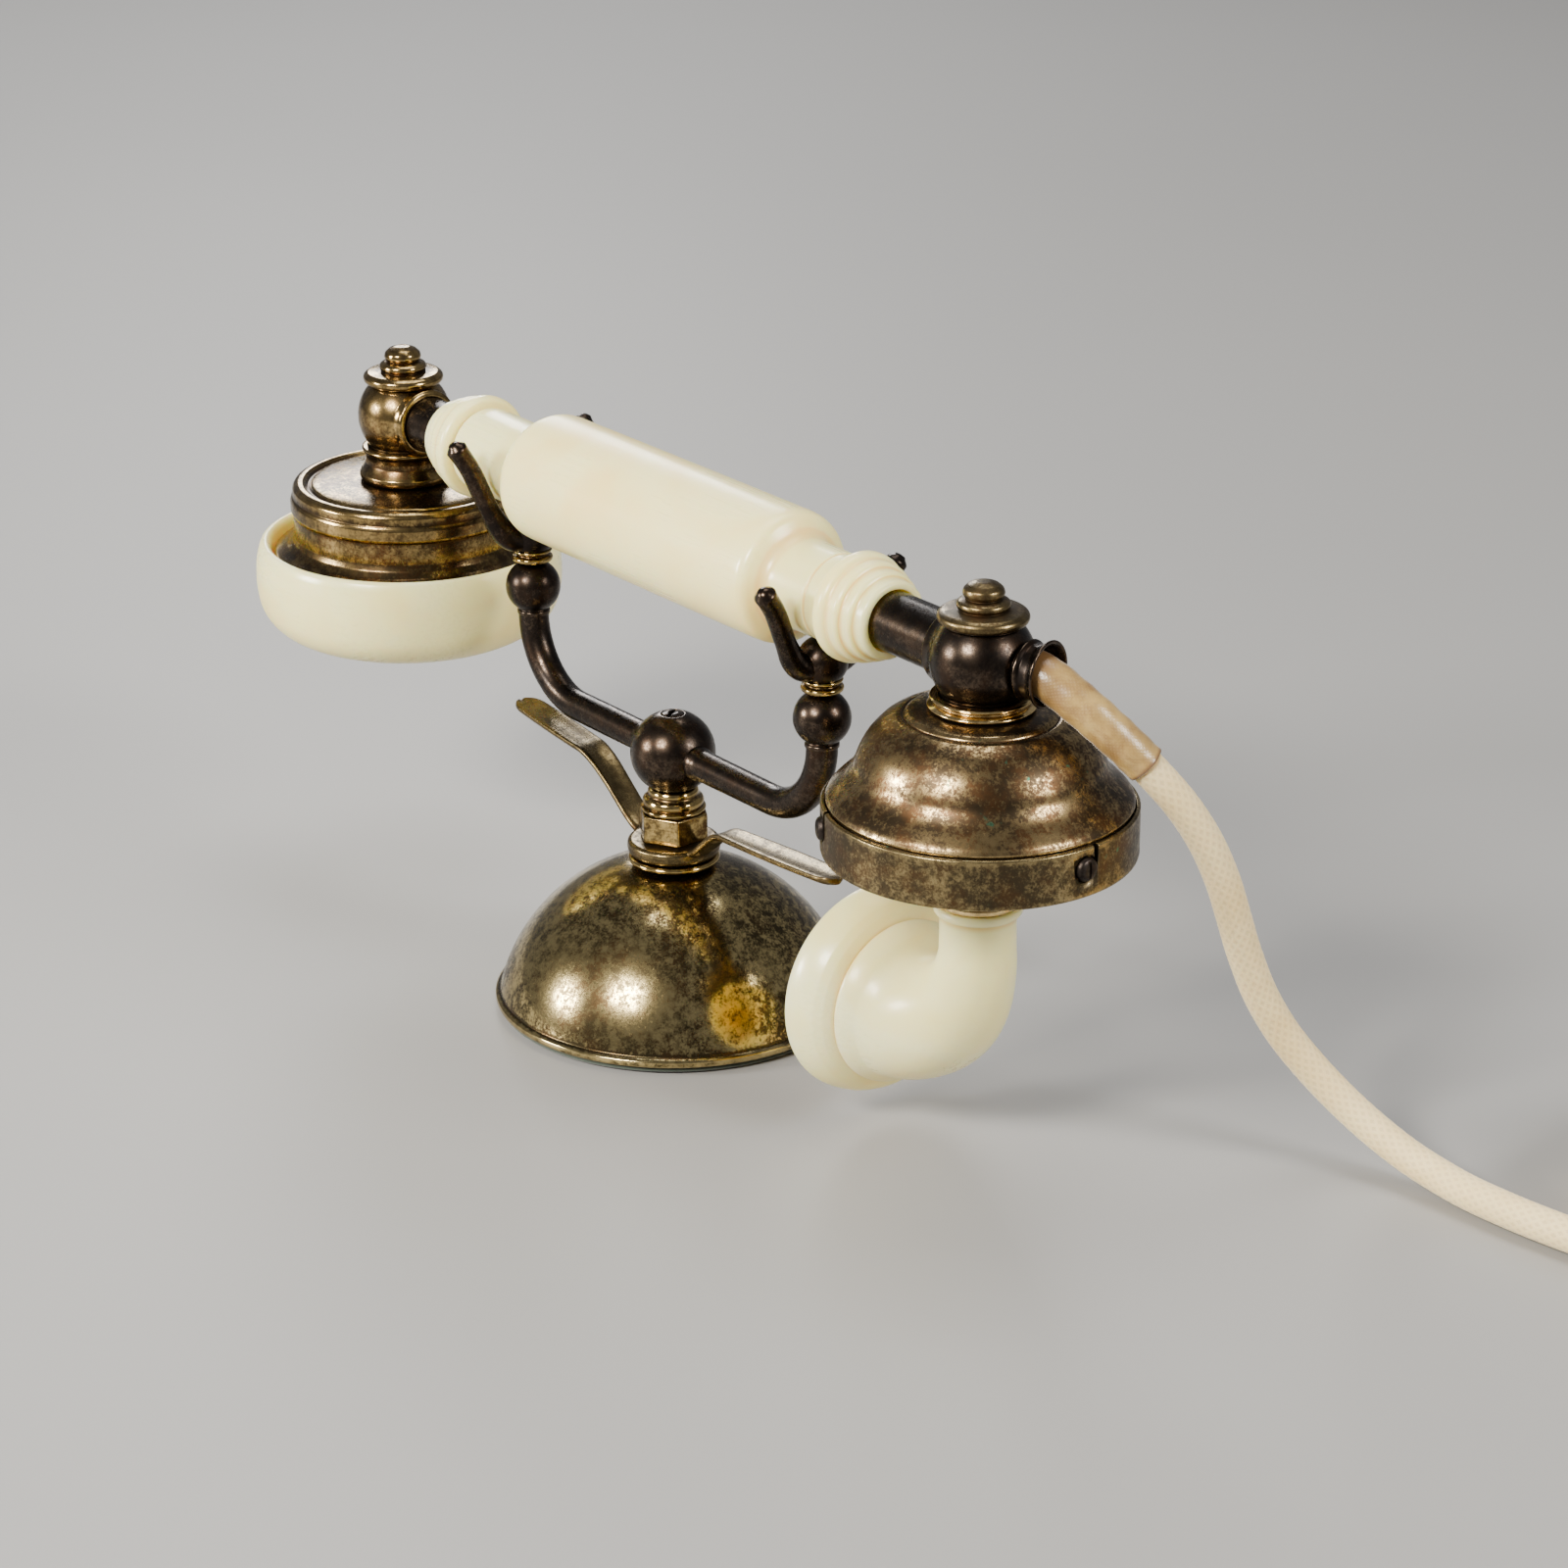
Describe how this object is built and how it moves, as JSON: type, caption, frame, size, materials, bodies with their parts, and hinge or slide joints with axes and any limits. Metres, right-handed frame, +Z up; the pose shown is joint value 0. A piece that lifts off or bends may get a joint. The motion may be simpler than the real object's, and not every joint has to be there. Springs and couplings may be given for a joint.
{
  "type": "cradle telephone",
  "caption": "Table telephone with a sprung two-fork cradle on a weighted dome foot, and a handset with a turned grip, ear cup, bell transmitter and swivelling horn.",
  "frame": {"origin": "centre of the felt foot's underside, on the table", "axes": "+X along the handset towards the transmitter, +Y away from the user, +Z up"},
  "size_m": [0.4026, 0.1927, 0.1233],
  "materials": {
    "aged_brass": "mottled patina, semi-gloss",
    "bright_brass": "polished, worn",
    "blackened_bronze": "dark patina, semi-gloss",
    "ivory_plastic": "satin gloss",
    "steel": "plain",
    "cast_iron": "rough",
    "felt": "felt",
    "insulating_fibre": "matte",
    "nickel_silver": "satin",
    "woven_sleeve": "close weave with a sheen",
    "braided_cotton": "braided"
  },
  "bodies": {
    "base": {"base_dome": "aged_brass", "felt_foot": "felt", "base_plate": "steel", "ballast_ring": "cast_iron", "base_screw_1": "steel", "base_screw_2": "steel", "base_screw_3": "steel", "switch_bracket": "insulating_fibre", "contact_block": "insulating_fibre", "fixed_contact": "nickel_silver", "return_spring": "steel", "guide_stem": "bright_brass", "stem_washer": "bright_brass", "finger_wings": "bright_brass", "hex_nut": "bright_brass", "neck_collar": "bright_brass", "cord_coil": "braided_cotton", "cord_plug": "ivory_plastic", "plug_contact": "bright_brass", "cord_tail": "braided_cotton"},
    "cradle": {"plunger_rod": "steel", "cradle_hub": "blackened_bronze", "hub_screw": "blackened_bronze", "arm_right": "blackened_bronze", "arm_left": "blackened_bronze", "lower_ball_right": "blackened_bronze", "lower_ball_left": "blackened_bronze", "fork_collar_right": "bright_brass", "fork_collar_left": "bright_brass", "fork_right": "blackened_bronze", "fork_left": "blackened_bronze"},
    "handset": {"grip": "ivory_plastic", "end_collar_right": "ivory_plastic", "end_collar_left": "ivory_plastic", "core_tube": "blackened_bronze", "transmitter_head": "blackened_bronze", "receiver_head": "aged_brass", "transmitter_finial": "blackened_bronze", "receiver_finial": "aged_brass", "cord_socket": "blackened_bronze", "transmitter_neck_ring": "bright_brass", "receiver_neck_ring": "aged_brass", "transmitter_bell": "aged_brass", "transmitter_band": "aged_brass", "band_screw_1": "blackened_bronze", "band_screw_2": "blackened_bronze", "band_screw_3": "blackened_bronze", "carbon_capsule": "steel", "transmitter_plate": "aged_brass", "receiver_cup": "aged_brass", "ear_cap": "ivory_plastic", "receiver_diaphragm": "steel", "receiver_magnet": "steel", "receiver_coil": "insulating_fibre", "cord_sleeve": "woven_sleeve", "handset_cord": "braided_cotton"},
    "mouthpiece": {"mouthpiece_ferrule": "bright_brass", "mouthpiece_elbow": "ivory_plastic", "mouthpiece_flare": "ivory_plastic"},
    "blade": {"contact_blade": "nickel_silver"}
  },
  "joints": [
    {"name": "cradle_lift", "type": "slide", "parent": "base", "child": "cradle", "axis": [0, 0, 1], "range_m": [0, 0.003], "stiffness_N_per_m": 250, "springref_m": 0.012, "deforming": ["return_spring"]},
    {"name": "handset_lift", "type": "slide", "parent": "cradle", "child": "handset", "axis": [0, 0, 1], "range_m": [0, 0.08]},
    {"name": "mouthpiece_turn", "type": "hinge", "parent": "handset", "child": "mouthpiece", "pos_m": [0.1, 0, 0.0567], "axis": [0, 0, 1], "range_deg": [-90, 90]},
    {"name": "contact_blade_hinge", "type": "hinge", "parent": "base", "child": "blade", "pos_m": [-0.016, 0, 0.0088], "axis": [0, -1, 0], "range_deg": [0, 10.5]}
  ],
  "couplings": [
    {"joint": "contact_blade_hinge", "follows": "cradle_lift", "rad_per_m": 60.7}
  ]
}
